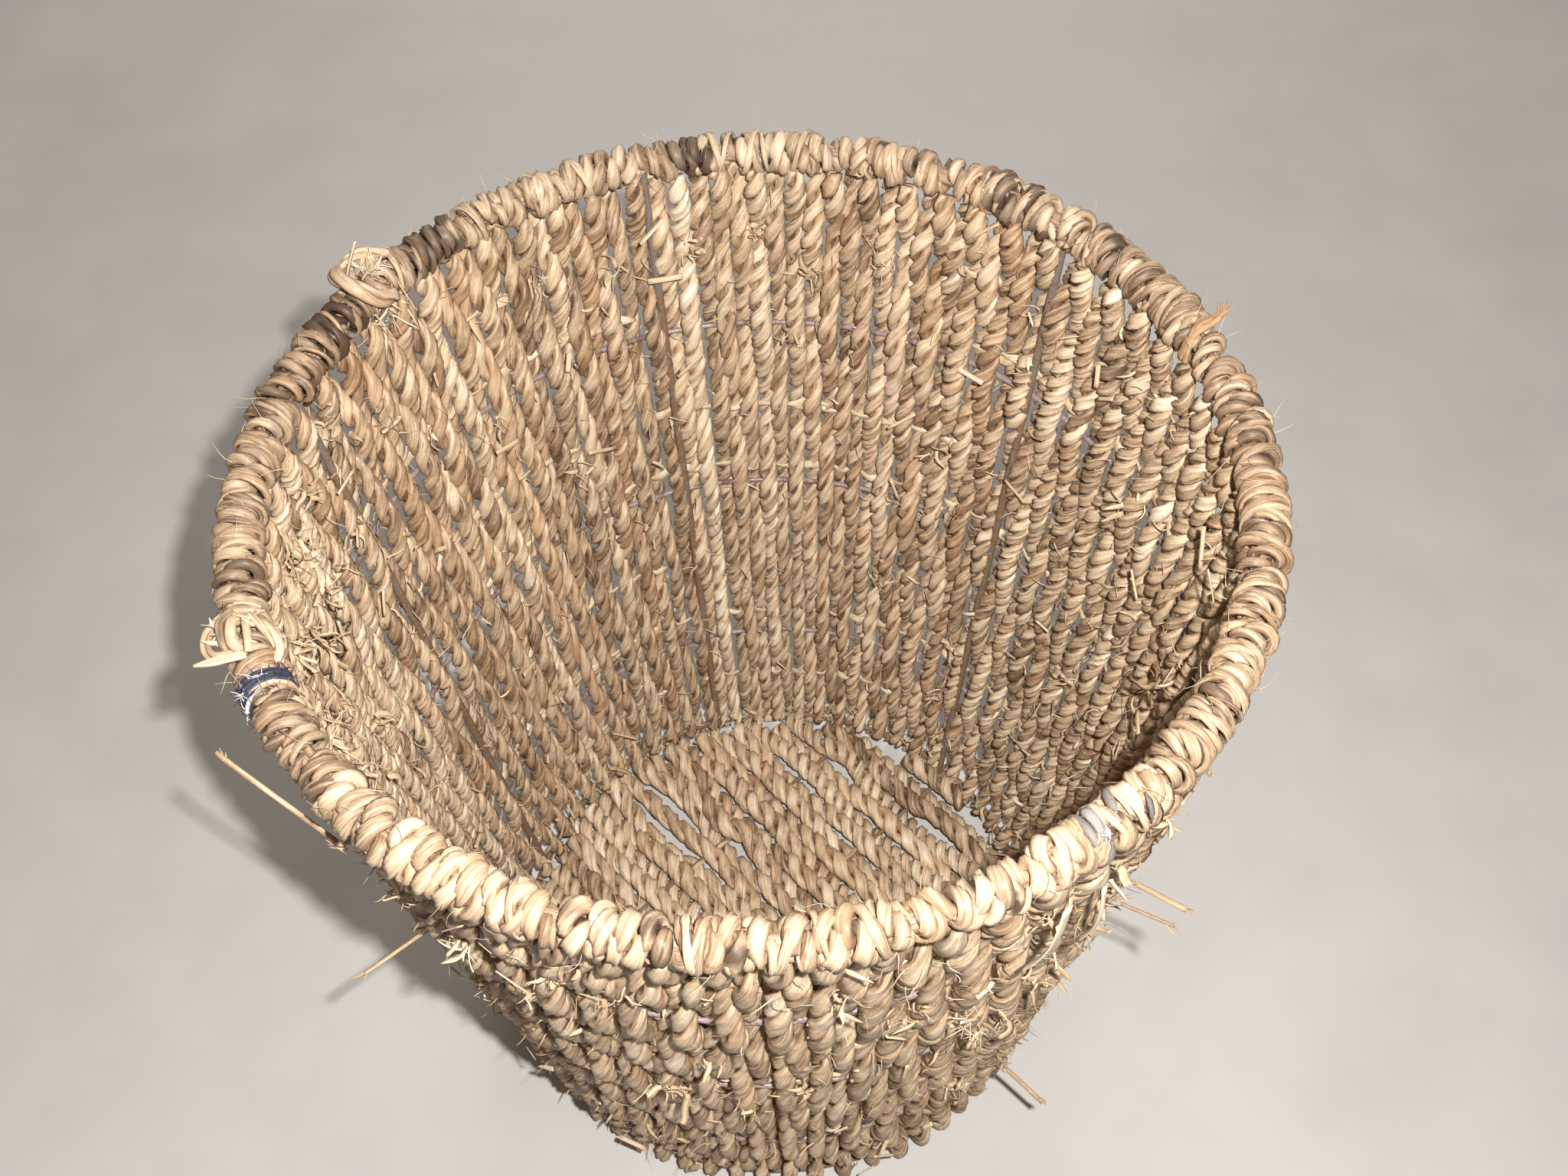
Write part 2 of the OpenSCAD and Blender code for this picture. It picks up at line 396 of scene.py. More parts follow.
def grass(name, colours, rough, bump=0.5, warm_colour=(188, 140, 98), gloss=0.5, streak=1.2):
    """Dried grass: fine streaks along each strand, broad leaf bands, warm and dark patches; the dark brown mix
    carries real stains and painted shade in creases and under the rim.
    """
    n = Nodes(name)
    fib = n.attribute("fib").outputs["Vector"]
    tone = n.attribute("tone").outputs["Fac"]
    warm = n.attribute("warm").outputs["Fac"]
    dark = n.attribute("dark").outputs["Fac"]
    fine = n.noise(n.stretched(fib, (2.6, 2.6, 0.06)), 1.0, 3.0, 0.62)
    band = n.noise(n.stretched(fib, (0.85, 0.85, 0.035)), 1.0, 2.0, 0.5, 0.4)
    fleck = n.noise(n.stretched(fib, (1.2, 1.2, 0.55)), 1.0, 3.0, 0.65)
    level = n.vary(n.vary(tone, fine, streak), band, 0.8)
    level = n.vary(level, fleck, 0.55, clamp=True)
    colour = n.ramp(level, colours)
    glow = n.vary(warm, band, 0.9, clamp=True)
    colour = mix_colours(n, n.math("MULTIPLY", glow, 0.62), colour, shade(*warm_colour))
    # Dark brown from the dark attribute: real stains, and painted shade in the creases and under the rim
    stain_and_shade = n.math("MULTIPLY", n.remap(n.vary(dark, fleck, 0.5), 0.3, 0.75, 0.0, 1.0), 0.9)
    colour = mix_colours(n, stain_and_shade, colour, DARK_BROWN)
    n.link(colour, n.shader.inputs["Base Color"])
    n.link(n.remap(fine, 0.3, 0.7, rough - 0.08, rough + 0.12), n.shader.inputs["Roughness"])
    n.shader.inputs["Specular IOR Level"].default_value = gloss
    height = n.math("ADD", n.math("MULTIPLY", fine, 0.6), n.math("MULTIPLY", band, 0.5))
    n.bump(height, bump, 0.0005)
    return n.material


def wire_finish(name, lacquer, rust_below, rust_above, dark_rust=(98, 76, 56), light_rust=(152, 120, 88)):
    """Worn lacquer that gives way to rust, with different shares of it below and above the upper hoop."""
    n = Nodes(name)
    place = n.new("ShaderNodeTexCoord").outputs["Object"]
    patches = n.noise(place, 160.0, 4.0, 0.62)
    grain = n.noise(place, 900.0, 3.0, 0.6)
    height = n.new("ShaderNodeSeparateXYZ")
    n.link(place, height.inputs[0])
    worn = n.remap(height.outputs["Z"], (HOOP_Z[2] - 20) * MM, (HOOP_Z[2] + 45) * MM, rust_below, rust_above)
    rust = n.remap(n.math("ADD", patches, worn), 0.50, 0.60, 0.0, 1.0)
    paint = n.ramp(grain, stops((0.25, *[c * 0.8 for c in lacquer]), (0.75, *lacquer)))
    iron = n.ramp(grain, stops((0.25, *dark_rust), (0.8, *light_rust)))
    n.link(mix_colours(n, rust, paint, iron), n.shader.inputs["Base Color"])
    n.link(n.remap(rust, 0.0, 1.0, 0.34, 0.82), n.shader.inputs["Roughness"])
    n.bump(n.math("ADD", n.math("MULTIPLY", rust, 0.8), n.math("MULTIPLY", grain, 0.6)), 0.5, 0.0003)
    return n.material


def thread_finish(name, colours, rough):
    """Spun thread: tight streaks and small lint."""
    n = Nodes(name)
    fib = n.attribute("fib").outputs["Vector"]
    tone = n.attribute("tone").outputs["Fac"]
    spin = n.noise(n.stretched(fib, (3.0, 3.0, 1.6)), 1.0, 3.0, 0.6)
    n.link(n.ramp(n.vary(tone, spin, 0.4, clamp=True), colours), n.shader.inputs["Base Color"])
    n.link(n.remap(spin, 0.3, 0.7, rough - 0.1, rough + 0.1), n.shader.inputs["Roughness"])
    n.bump(spin, 0.6, 0.0003)
    return n.material


CORD_STOPS = stops(
    (0.00, 108, 86, 66), (0.25, 164, 138, 110), (0.50, 202, 178, 148), (0.75, 224, 206, 178), (1.00, 242, 232, 212)
)
RIM_STOPS = stops(
    (0.00, 104, 84, 66), (0.25, 158, 132, 106), (0.50, 194, 170, 142), (0.75, 218, 199, 170), (1.00, 238, 226, 204)
)
PALE_STOPS = stops((0.00, 130, 106, 80), (0.35, 190, 166, 134), (0.70, 220, 202, 172), (1.00, 238, 228, 206))
STRAW_STOPS = stops((0.00, 104, 72, 46), (0.35, 154, 124, 92), (0.70, 200, 172, 138), (1.00, 230, 212, 184))
# The blue ramp's near-white top stop serves the white thread and the painted glints on the blue thread.
BLUE_STOPS = stops((0.00, 24, 25, 36), (0.40, 56, 58, 78), (0.62, 104, 106, 124), (0.70, 206, 206, 208))
# The grey ramp's near-white top stop is the colour of a painted glint.
GREY_STOPS = stops((0.00, 84, 78, 76), (0.50, 142, 134, 128), (1.00, 226, 224, 224))
cord_grass = grass("seagrass_cord", CORD_STOPS, 0.44, gloss=0.55)
rim_grass = grass("rim_seagrass", RIM_STOPS, 0.46, 0.45, (190, 144, 102), streak=1.0)
pale_grass = grass("pale_seagrass", PALE_STOPS, 0.50)
straw_grass = grass("brown_straw", STRAW_STOPS, 0.55)
upright_lacquer = wire_finish("upright_lacquer", (134, 122, 116), 0.12, -0.02)
hoop_lacquer = wire_finish("hoop_lacquer", (168, 146, 146), 0.04, -0.03, (92, 70, 64), (136, 106, 98))
blue_thread = thread_finish("blue_thread", BLUE_STOPS, 0.6)
grey_thread = thread_finish("grey_thread", GREY_STOPS, 0.55)

for node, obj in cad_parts.items():
    finish = None
    if node.startswith("hoop_wire"):
        finish = hoop_lacquer
    elif node.startswith("upright_wire") or node in ("rim_wire", "base_ring_wire", "base_cross_wires"):
        finish = upright_lacquer
    if finish is not None:
        obj.data.materials.clear()
        obj.data.materials.append(finish)

# ---- Wall cords ----
WALL_SIDES = 12
WALL_RING_STEP = 1.6
GROUND = 0.05  # no cord goes below this height
# Painted shade in the creases between the plies of the wall and floor cords
PAINTED_CREASE_SHADE = 0.16  # how dark the creases between the plies are
PITCH_RANGE = (11, 50)  # shortest and longest twist
SIZE_RANGE = (0.98, 1.50)  # thinnest and thickest wall cord
AT_HOOP = 3.9  # how far a cord's middle is from the wall's middle at a hoop, and at a strip
AT_WEFT = 2.6
CORD_TOP_Z = RIM_Z - 4.0
WEFT_RING_STEP = 1.7
# The heights at which the cords change sides, with their distance from the wall's middle for a cord that
# starts inside. Each hoop shares a side with the strip just above it.
WEAVE = [
    (0.0, -AT_HOOP), (RING_Z + 6, -AT_HOOP), (WEFT_Z[0], AT_WEFT),
    (HOOP_Z[0], -AT_HOOP), (WEFT_Z[1], -AT_WEFT), (WEFT_Z[2], AT_WEFT),
    (HOOP_Z[1], -AT_HOOP), (WEFT_Z[3], -AT_WEFT), (WEFT_Z[4], AT_WEFT),
    (HOOP_Z[2], -AT_HOOP), (WEFT_Z[5], -AT_WEFT), (WEFT_Z[6], AT_WEFT),
    (RIM_Z - 9, -4.2), (RIM_Z, -2.2),
]
WEAVE_Z = [z for z, _ in WEAVE]
WEAVE_OUT = [d for _, d in WEAVE]


def wall_point(angle, z, out):
    """A point off the wall's middle surface, and the wall's outward direction there. The angle is in radians."""
    r = wall_r(z) + out * math.cos(LEAN)
    height = z - out * math.sin(LEAN)
    normal = polar(math.cos(LEAN), angle, -math.sin(LEAN))
    return polar(r, angle, height), normal


def looseness(angle):
    """How loosely the cords are twisted: 1 at the back left, falling to 0 away from it."""
    return max(0.0, math.cos(angle - math.radians(140))) ** 12


def twist_pitch(angle, loose):
    """Length of one whole twist: short at the sides, longer at the back, longest where loose and in front."""
    back, front = max(0, math.sin(angle)), max(0, -math.sin(angle))
    return 14.5 - 0.8 * (1 - math.cos(angle)) + 5 * back**2 + 20 * front**4 + 10 * loose


def grip(angle, z):
    """How far a cord swings from side to side between the wires, as a share of the full swing."""
    held = 0.5 + 0.5 * ease((math.sin(angle) + 0.3) / 0.8) + 0.35 * ease(-1.4 * math.sin(angle) - 0.4)
    above = ease((z - HOOP_Z[2] + 30) / 20)
    return held + (0.9 - min(held, 0.9)) * above


def wall_panel(i):
    """The cords between two uprights. They crowd slightly towards the uprights, and odd ones start outside."""
    rng = seeded(100 + i)
    bundle = Bundle()
    for k in range(CORDS_PER_PANEL):
        middle = (CORDS_PER_PANEL - 1) / 2
        closer = 1 + 0.30 * ((k - middle) / middle) ** 8 / middle
        angle = math.radians(FIRST_UPRIGHT + PANEL_ANGLE * (i - 0.5) + (k - middle) * closer * CORD_STEP)
        back, front, beside = max(0, math.sin(angle)), max(0, -math.sin(angle)), abs(math.cos(angle))
        inside = k % 2 == 0
        low = RING_Z + 2.4 if inside else 2.9
        z = np.arange(low, CORD_TOP_Z, WALL_RING_STEP)
        out = steps_between(z, WEAVE_Z, WEAVE_OUT) * (1 if inside else -1) * grip(angle, z)
        out = out + 0.6 * wander(z, 30, rng)
        if not inside:
            out = out - 5.0 * (1 - ease((z - 1) / 10)) ** 1.5
        drift = (0.75 * wander(z, 55, rng) + 0.35 * rng.normal()) * np.clip(z / 60, 0.2, 1)
        path, normal = wall_point(angle + drift / wall_r(z), z, out)
        loose = np.clip(looseness(angle) + 0.16 * rng.normal(), 0, 1)
        pitch = (twist_pitch(angle, loose) + 2.0 * rng.normal()) * (1 + 0.22 * wander(z, 60, rng))
        pitch = np.clip(pitch, *PITCH_RANGE) * (0.84 + 0.16 * ease(z / 110))
        phase = rng.uniform(0, TAU) + np.cumsum(TAU * WALL_RING_STEP / math.cos(LEAN) / pitch)
        size = 1.24 + 0.07 * front + 0.13 * beside + 0.05 * back - 0.03 * loose + 0.06 * rng.normal()
        size = np.clip(size, *SIZE_RANGE) * (1 + 0.06 * wander(z, 40, rng))
        size = size * (1 - 0.14 * (1 - z / RIM_Z)) * (1 - 0.25 * ease((z - RIM_Z + 12) / 8))
        # Painted shade: front cords darker towards the bottom, side cords darker, and front cords dark just under
        # the rim as a painted shadow line.
        tone = 0.50 + 0.06 * rng.normal() - 0.20 * front * (1 - z / RIM_Z) - 0.07 * beside
        warm = 0.02 + 0.12 * loose + 0.09 * rng.normal()
        dark = 0.45 * front * ease((z - RIM_Z + 24) / 12)
        flat = 0.55 + 0.3 * front + 0.2 * beside - 0.1 * loose
        narrow = np.clip(0.16 + 0.90 * wall_r(z) / RIM_R, 0.78, 1.0)
        press = 0.78 + 0.22 * ease(abs(math.sin(angle)))
        cord(bundle, path, normal, phase, size, WALL_SIDES, rng, tone, warm, dark, flat, narrow, GROUND,
             soil=PAINTED_CREASE_SHADE, press=press)
    bundle.build(f"wall_weave_{i}", cord_grass, [f"wall_cords_{i}"], "seagrass_cord")


for i in range(1, PANELS + 1):
    wall_panel(i)


# ---- Flat weft strips between the cords ----
def weft(i):
    """Two flat strands side by side round the wall, between the cords, worn away here and there."""
    rng = seeded(300 + i)
    bundle = Bundle()
    z0 = WEFT_Z[i - 1]
    count = int(TAU * wall_r(z0) / WEFT_RING_STEP)
    sign = math.copysign(1, WEAVE_OUT[WEAVE_Z.index(z0)])
    for part in (-1, 1):
        turn = np.linspace(0, TAU - 0.02, count)
        angle = rng.uniform(0, TAU) + turn
        place = (np.degrees(angle) - FIRST_UPRIGHT) % PANEL_ANGLE / CORD_STEP - SIDE_GAP
        wave = np.cos(np.pi * place)
        s = turn * wall_r(z0)
        z = z0 + part * 1.0 + 1.2 * wander(s, 24, rng) + 0.6 * wander(s, 9, rng)
        path, normal = wall_point(angle, z, -0.75 * sign * wave)
        lean_over = 0.9 * wander(s, 14, rng)
        hint = normal + UP * lean_over[:, None]
        tone = 0.62 + 0.16 * wander(s, 20, rng) + 0.16 * wander(s, 7, rng)
        warm = 0.12 + 0.25 * wander(s, 40, rng)
        half_width = 1.65 * (1 + 0.35 * wander(s, 10, rng))
        for at in broken(count, (12, 70), rng, gap=16):
            here = looseness(angle[(at.start + at.stop) // 2])
            if at.stop - at.start > 6 and rng.uniform() < 0.35 + 0.5 * here:
                step = np.arange(at.stop - at.start)
                taper = np.clip(0.35 + np.minimum(step, step[::-1]) / 4, 0, 1)
                strand(bundle, path[at], hint[at], half_width[at] * taper, 0.55, 8, rng, tone[at], warm[at])
    bundle.build(f"weft_{i}", pale_grass, [f"weft_strip_{i}"], "pale_strip")


for i in range(1, len(WEFT_Z) + 1):
    weft(i)

# ---- Floor cords ----
# Openings between floor cords: where they start across the floor and to which side they widen, where along the
# cords they start and end, and how wide they get
FLOOR_GAPS = [
    (3.75, 1, 46, 96, 4.4),
    (-3.75, -1, 49, 94, 3.8),
    (-11.25, -1, 28, 47, 2.6),
    (-26.25, -1, 52, 78, 2.8),
    (-71.25, -1, 22, 47, 2.8),
    (-78.75, -1, -36, -4, 2.2),
]
FLOOR_SIDES = 10
FLOOR_LIMIT_LOWER = 104.5
FLOOR_LIMIT_UPPER = 101.0
FLOOR_RING_STEP = 1.5
FLOOR_ROWS = 13  # cord places on each side of the middle
FLOOR_EDGE = 105
FLOOR_WEFT_STEP = 1.6
SHORT_CORD = 60  # a cord with a shorter half than this passes all the cross wires on one side
FLOOR_TURN_RAD = math.radians(FLOOR_TURN)
FORWARD = np.array([math.cos(FLOOR_TURN_RAD), math.sin(FLOOR_TURN_RAD), 0])
SIDEWAYS = np.array([-math.sin(FLOOR_TURN_RAD), math.cos(FLOOR_TURN_RAD), 0])
AT_CROSS_WIRE = 3.6
FLOOR_PITCH_RANGE = (12, 34)


def floor_shift(run, across):
    """How far the openings push a cord sideways."""
    total = np.zeros_like(run)
    for edge, way, start, end, width in FLOOR_GAPS:
        beyond = (across - edge) * way
        if beyond > 0:
            spread = np.sin(math.pi * np.clip((run - start) / (end - start), 0, 1)) ** 0.8
            total = total + way * width * spread * math.exp(-(beyond - FLOOR_PITCH / 2) / 9)
    return total


def floor_path(run, across, z):
    """A path over the floor from the distances along and across its cords, and the height."""
    return FORWARD * run[:, None] + SIDEWAYS * across[:, None] + UP * z[:, None]


def floor_cords(name, node, odd, limit):
    """Every other floor cord. Each goes over and under the cross wires in turn, and swells where it crosses one."""
    rng = seeded(500 + odd)
    bundle = Bundle()
    side = 1 if odd else -1
    for m in range(-FLOOR_ROWS, FLOOR_ROWS + 1):
        across = m * FLOOR_PITCH
        half = math.sqrt(max(limit**2 - (abs(across) + 2.0) ** 2, 1))
        if m % 2 != odd or half < 8:
            continue
        run = np.arange(-half, half, FLOOR_RING_STEP)
        rows = [-FLOOR_EDGE, *CROSS_WIRES, FLOOR_EDGE]
        levels = [AT_CROSS_WIRE * side * (1 if j % 2 == 0 or half < SHORT_CORD else -1) for j in range(len(rows))]
        z = RING_Z + steps_between(run, rows, levels) + 0.3 * wander(run, 30, rng)
        shift = floor_shift(run, across) + 0.8 * wander(run, 32, rng)
        path = floor_path(run, across + shift, z)
        pitch = (18.5 + 4 * rng.normal()) * (1 + 0.2 * wander(run, 50, rng))
        phase = rng.uniform(0, TAU) + np.cumsum(TAU * FLOOR_RING_STEP / np.clip(pitch, *FLOOR_PITCH_RANGE))
        swell = 1 + 0.10 * sum(np.exp(-(((run - w) / 6) ** 2)) for w in CROSS_WIRES)
        size = (1.44 + 0.06 * rng.normal()) * swell
        tone = 0.50 + 0.06 * rng.normal()
        warm = 0.08 + 0.08 * rng.normal()
        cord(bundle, path, UP, phase, size, FLOOR_SIDES, rng, tone, warm, flat=0.7, ground=GROUND,
             soil=PAINTED_CREASE_SHADE, press=0.88)
    bundle.build(name, cord_grass, [node], "seagrass_cord")


def floor_wefts():
    """Broken pieces of flat strand along each cross wire."""
    rng = seeded(540)
    bundle = Bundle()
    for row, wire in enumerate(CROSS_WIRES):
        half = math.sqrt(FLOOR_LIMIT_UPPER**2 - wire**2)
        for part in (-1, 1):
            across = np.arange(-half, half, FLOOR_WEFT_STEP)
            bob = 0.5 * np.cos(math.pi * across / FLOOR_PITCH) * (1 if row % 2 else -1)
            run = wire + part * 0.9 + 0.8 * wander(across, 16, rng)
            path = floor_path(run, across, RING_Z + bob)
            hint = UP + FORWARD * 0.5 * wander(across, 14, rng)[:, None]
            tone = 0.40 + 0.16 * wander(across, 10, rng)
            half_width = 1.3 * (1 + 0.3 * wander(across, 12, rng))
            for at in broken(len(across), (8, 24), rng):
                if rng.uniform() < 0.3:
                    strand(bundle, path[at], hint[at], half_width[at], 0.7, 8, rng, tone[at], warm=0.12)
    bundle.build("floor_weft", cord_grass, (), "seagrass_cord")


floor_wefts()
floor_cords("floor_weave_lower", "floor_cords_lower", 0, FLOOR_LIMIT_LOWER)
floor_cords("floor_weave_upper", "floor_cords_upper", 1, FLOOR_LIMIT_UPPER)

# ---- Rim lashing: one cord wound round the rim wire, with looser strands over it ----
TURN_POINTS = 30
RIM_SIDES = 10
UNDER_LASHING_R = 2.3  # strands that lie along the wire, and the loose ones over the lashing
OVER_LASHING_R = 5.4
# Directions of the dark brown turns of the lashing
DARK_TURNS_AT = [131, 133, 136, 138, 150, 153, 156, 98, 95, 87, 54, 51, 48, 36]
TURNS = LASHINGS * LASHING_TURNS
turn_rng = seeded(700)
turn_knots = np.arange(TURNS + 2)


def spread(low, high):
    """A random value for each turn, of a normal spread that is cut off."""
    return np.clip(turn_rng.normal(size=TURNS + 2), low, high)


turn_reach = 3.80 + 0.62 * spread(-1.4, 1.8)
turn_tone = 0.50 + 0.09 * spread(-2, 2)
turn_warm = 0.02 + 0.14 * spread(-2, 2)
turn_slip = 0.36 * spread(-1.5, 1.5)
turn_tilt = 0.12 + 0.24 * spread(-1.5, 1.5)
turn_size = 1.24 + 0.12 * spread(-1.2, 1.6)
turn_dark = np.zeros(TURNS + 2)
for place in DARK_TURNS_AT:
    at = int(((place - FIRST_UPRIGHT) % 360) / 360 * TURNS)
    turn_dark[at] = turn_rng.uniform(0.50, 0.75)
# Small dark spots on half of the turns: how dark, and where round the wire
turn_spot = np.where(turn_rng.uniform(size=TURNS + 2) < 0.5, turn_rng.uniform(0.35, 0.8, TURNS + 2), 0.0)
turn_spot_at = turn_rng.uniform(-0.3, 2.6, TURNS + 2)
# The front of the rim is painted a little lighter as painted flash light, and its cord is plump; the sides are
# bundles of finer strands, painted darker as painted shade.
FINE_LASHINGS = (4, 5, 6, 10, 11, 12)
RIM_PITCH = {4: 26, 5: 20, 6: 18, 10: 16, 11: 16, 12: 18}


def around_rim(beta, psi, reach):
    """A point round the rim wire: beta along the rim, psi round the wire from the outside up and over."""
    return polar(RIM_R + reach * np.cos(psi), beta, RIM_Z + reach * np.sin(psi))


def away_from_wire(beta, psi):
    """The direction from the rim wire to such a point."""
    return polar(np.cos(psi), beta, np.sin(psi))


def lashing(i):
    """One length of the lashing with the strands laid along the wire under it and the looser ones over it."""
    rng = seeded(720 + i)
    bundle = Bundle()
    fine = i in FINE_LASHINGS
    middle = math.radians(FIRST_UPRIGHT + 360 / LASHINGS * (i - 0.5))
    # Painted light and shade: turns at the front are painted a little lighter, and the fine turns at the sides
    # darker.
    painted_front_light = 0.5 - 0.5 * math.sin(middle)
    tone_shift = 0.05 * (painted_front_light - 0.5) - (0.18 if fine else 0.0)
    turns = np.linspace((i - 1) * LASHING_TURNS, i * LASHING_TURNS, LASHING_TURNS * TURN_POINTS + 1)

    def per_turn(values):
        return np.interp(turns, turn_knots, values)

    beta = START_ANGLE + TAU * np.linspace(turns[0], turns[-1], 60) / TURNS
    for k in range(6):
        psi = TAU * k / 6 + 0.2 * wander(beta * RIM_R, 30, rng)
        under = around_rim(beta, psi, UNDER_LASHING_R)
        strand(bundle, under, away_from_wire(beta, psi), 1.6, 0.7, 8, rng, tone=0.28, dark=0.25)

    psi = -TAU * turns + math.radians(200)
    slip = per_turn(turn_slip) + per_turn(turn_tilt) * np.sin(psi + 0.7)
    beta = START_ANGLE + TAU * (turns + slip) / TURNS
    reach = per_turn(turn_reach) + 0.2 * np.sin(3 * psi + turns)
    path = around_rim(beta, psi, reach)
    nearest = np.round(turns).astype(int)
    spots = turn_spot[nearest] * np.clip(6 * np.cos(psi - turn_spot_at[nearest]) - 5, 0, 1)
    phase = 0.6 * i + TAU * run_length(path) / RIM_PITCH.get(i, 15.5) + (0.5 if fine else 0.9) * np.sin(turns * 2.3)
    tone = per_turn(turn_tone) + tone_shift
    warm = per_turn(turn_warm) - (0.08 if fine else 0.0)
    cord(bundle, path, away_from_wire(beta, psi), phase, per_turn(turn_size), RIM_SIDES, rng, tone, warm,
         per_turn(turn_dark) + spots, flat=0.25, plies=3 if fine else 2, soil=0.45 if fine else 0.35, fold=0.12)
    for _ in range(11 if fine else 7):
        where = rng.uniform(2, LASHING_TURNS - 2) + (i - 1) * LASHING_TURNS
        length = rng.uniform(0.55, 1.3)
        t = np.linspace(0, 1, int(24 * length) + 6)
        over_psi = rng.uniform(0, TAU) - TAU * length * t
        travel = rng.choice([-1, 1]) * rng.uniform(0.6, 1.9) * length
        over_beta = START_ANGLE + TAU * (where + travel * t) / TURNS
        lift = np.sin(math.pi * t) ** 0.4
        over_path = around_rim(over_beta, over_psi, OVER_LASHING_R + 1.5 * lift + 0.3 * wander(40 * t, 8, rng))
        half_width = rng.uniform(0.8, 1.7) * (0.45 + 0.55 * lift) * (1 + 0.25 * wander(40 * t, 7, rng))
        strand(bundle, over_path, away_from_wire(over_beta, over_psi), half_width, rng.uniform(0.6, 1.0), 8, rng,
               rng.uniform(0.35, 0.62) + tone_shift, rng.uniform(-0.1, 0.3), ridge=0.2)
    bundle.build(f"rim_wrap_{i:02d}", rim_grass, [f"rim_lashing_{i:02d}"], "rim_seagrass")


for i in range(1, LASHINGS + 1):
    lashing(i)


# ---- Repairs in thread, knots and frayed ends ----
def tail(bundle, start, heading, length, half_width, half_depth, rng, tone, warm=0.0, dark=0.0, curl=0.5, points=9,
         sides=6, blunt=False):
    """A loose end that starts at a point, sets off in a direction and bends at random. A blunt one is cut off. A
    pair of numbers stands for one drawn between them."""
    values = (length, half_width, half_depth, tone, warm, curl)
    values = [rng.uniform(*value) if isinstance(value, tuple) else value for value in values]
    length, half_width, half_depth, tone, warm, curl = values
    bend = rng.normal(size=3)
    bend = unit(bend - heading * np.dot(bend, heading))
    twist = unit(np.cross(heading, bend))
    t = np.linspace(0, 1, points)
    turn = curl * (t + 0.35 * np.sin(TAU * t * rng.uniform(0.4, 0.9)))
    along = heading * np.cos(turn)[:, None] + bend * np.sin(turn)[:, None]
    along = along + twist * (0.3 * curl * np.sin(TAU * t * rng.uniform(0.3, 0.8) + rng.uniform(0, TAU)))[:, None]
    step = length / (points - 1)
    path = start + np.cumsum(unit(along) * step, axis=0) - unit(along)[0] * step
    hint = unit(twist + 0.6 * rng.normal() * bend)
    taper = np.ones(points) if blunt else np.clip(1.05 - t**3, 0.12, 1)
    strand(bundle, path, hint, half_width * taper, half_depth * (0.5 + 0.5 * taper), sides, rng, tone, warm, dark)


def rim_directions(angle):
    """The rim's outward direction and its direction of rising angle."""
    a = math.radians(angle)
    return np.array([math.cos(a), math.sin(a), 0]), np.array([-math.sin(a), math.cos(a), 0])


def rim_place(angle, local):
    """A place, or several, given as (along the rim, out from the wire, up from the wire)."""
    out, along = rim_directions(angle)
    local = np.asarray(local, float)
    return out * (RIM_R + local[..., 1:2]) + along * local[..., 0:1] + UP * (RIM_Z + local[..., 2:3])


def by_rim(angle, points, count=36):
    """A smooth path through such places."""
    return rim_place(angle, smooth_path(points, count))


def from_wire(angle, path):
    """Directions from the rim wire to a path near it."""
    out, _ = rim_directions(angle)
    return path - (out * RIM_R + UP * RIM_Z)


def thread_repair(name, node, material, slot, windings, fuzz, rng):
    """Thread wound over the lashing. Each winding is (from angle, to angle, from and to round the wire in degrees,
    half thickness, lift off the lashing, tone)."""
    bundle = Bundle()
    for from_angle, to_angle, low, high, half, lift, tone in windings:
        turns = abs(high - low) / 360
        t = np.linspace(0, 1, int(turns * 26) + 8)
        psi = np.radians(low + (high - low) * t)
        beta = np.radians(from_angle + (to_angle - from_angle) * t + 0.22 * wander(t * turns, 0.5, rng))
        path = around_rim(beta, psi, LASHING_R + lift + 0.3 * wander(t * turns, 0.4, rng))
        ends = np.clip(np.minimum(t, 1 - t) * (len(t) - 1) / 3, 0.35, 1)
        strand(bundle, path, away_from_wire(beta, psi), half * ends, 0.7 * half * ends, 8, rng,
               tone=tone + 0.12 * wander(t * turns, 0.2, rng), ridge=0.2)
        for _ in range(int(fuzz * (1 + turns))):
            at = rng.integers(0, len(t))
            away = unit(away_from_wire(beta[at], psi[at]) + 0.8 * rng.normal(size=3))
            tail(bundle, path[at], away, (1.5, 4.5), 0.16, 0.12, rng, tone + 0.1, curl=1.4, points=6, sides=4)
    bundle.build(name, material, [node], slot)


BLUE_WINDINGS = [
    (-155.1, -153.2, 0, 2300, 0.55, -0.4, 0.26),
    (-153.3, -154.9, 40, 1500, 0.50, 0.1, 0.42),
    (-155.3, -153.0, 10, 800, 0.45, 0.3, 0.20),
    # The next two short pale windings are painted highlights (glints) on the blue thread.
    (-154.5, -154.1, 66, 96, 0.45, 0.6, 0.80),
    (-153.9, -153.7, 30, 44, 0.40, 0.5, 0.76),
    (-152.8, -152.3, 62, -10, 0.80, -0.2, 0.92),
    (-151.6, -151.2, 40, -35, 0.50, -0.2, 0.28),
]
GREY_WINDINGS = [
    (-58.5, -57.0, 20, 400, 1.20, -0.4, 0.35),
    (-57.8, -56.7, 50, 150, 1.50, 0.1, 0.48),
    # A short white winding as a painted highlight (glint) on the grey thread
    (-57.2, -56.9, 50, 74, 0.80, 0.8, 1.0),
    (-54.9, -52.8, 80, 165, 1.40, 0.0, 0.42),
    (-52.2, -51.3, 12, 78, 0.90, -0.1, 0.12),
]
thread_repair("blue_repair", "rim_wrap_blue", blue_thread, "blue_thread", BLUE_WINDINGS, 9, seeded(801))
thread_repair("grey_repair", "rim_wrap_grey", grey_thread, "grey_thread", GREY_WINDINGS, 3, seeded(802))


